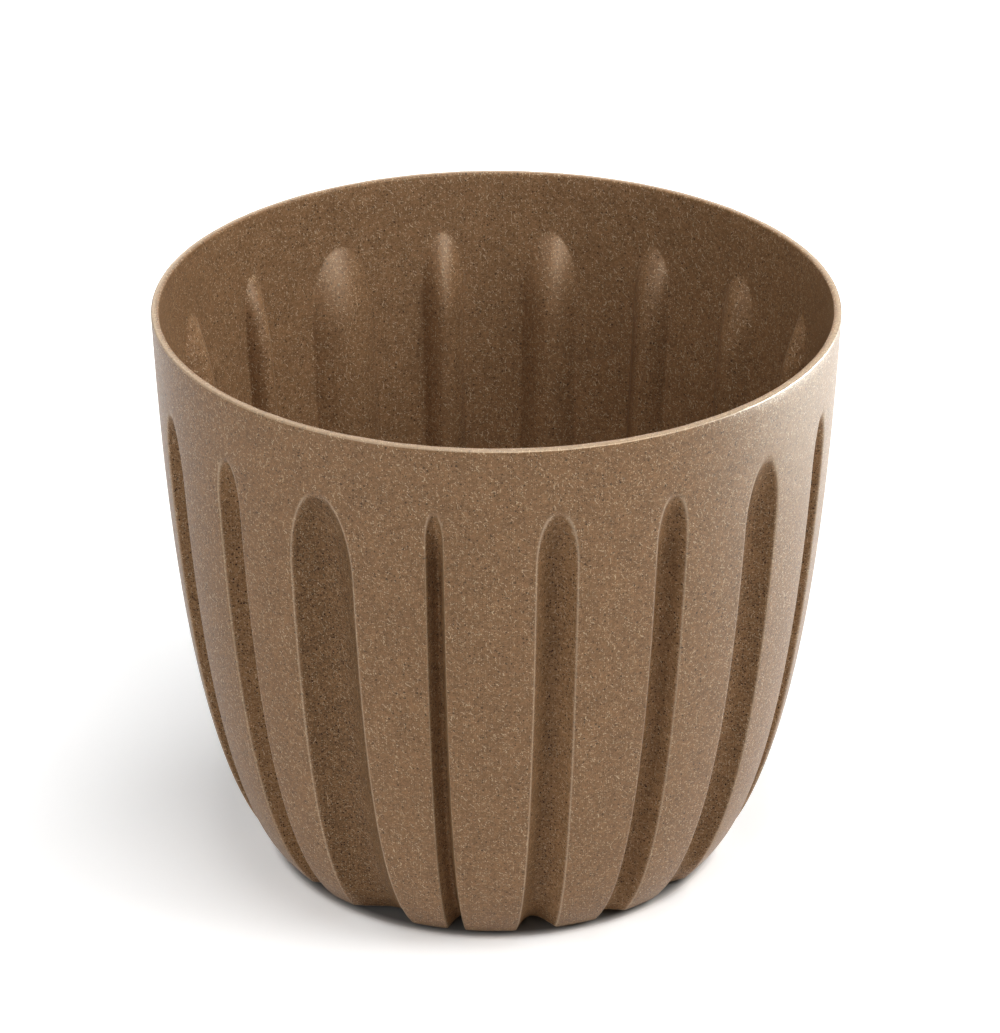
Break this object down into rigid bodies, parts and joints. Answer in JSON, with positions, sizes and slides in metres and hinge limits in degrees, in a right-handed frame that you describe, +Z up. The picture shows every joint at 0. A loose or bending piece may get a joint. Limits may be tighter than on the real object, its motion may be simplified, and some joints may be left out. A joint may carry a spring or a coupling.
{
  "type": "flowerpot",
  "caption": "Round tapered flowerpot in wood-fibre plastic with rounded flutes of varied width, a plain band under the rim, a raised floor, a standing ring and lift-out drain plugs.",
  "frame": {"origin": "on the ground, on the pot's upright axis, in the middle of the standing ring", "axes": "+Z up through the open mouth, -Y towards the side that faces the camera in the picture, +X to that side's right"},
  "size_m": [0.25, 0.25, 0.217],
  "materials": {
    "pot_plastic": "matte brown moulded plastic filled with pale wood fibres and dark specks",
    "plug_plastic": "plain matte dark brown moulded plastic"
  },
  "bodies": {
    "pot": {"pot_body": "pot_plastic"},
    "plug_1": {"drain_plug_1": "plug_plastic"},
    "plug_2": {"drain_plug_2": "plug_plastic"},
    "plug_3": {"drain_plug_3": "plug_plastic"}
  },
  "joints": [
    {"name": "plug_lift_1", "type": "slide", "parent": "pot", "child": "plug_1", "axis": [0, 0, 1], "range_m": [0, 0.03]},
    {"name": "plug_lift_2", "type": "slide", "parent": "pot", "child": "plug_2", "axis": [0, 0, 1], "range_m": [0, 0.03]},
    {"name": "plug_lift_3", "type": "slide", "parent": "pot", "child": "plug_3", "axis": [0, 0, 1], "range_m": [0, 0.03]}
  ]
}
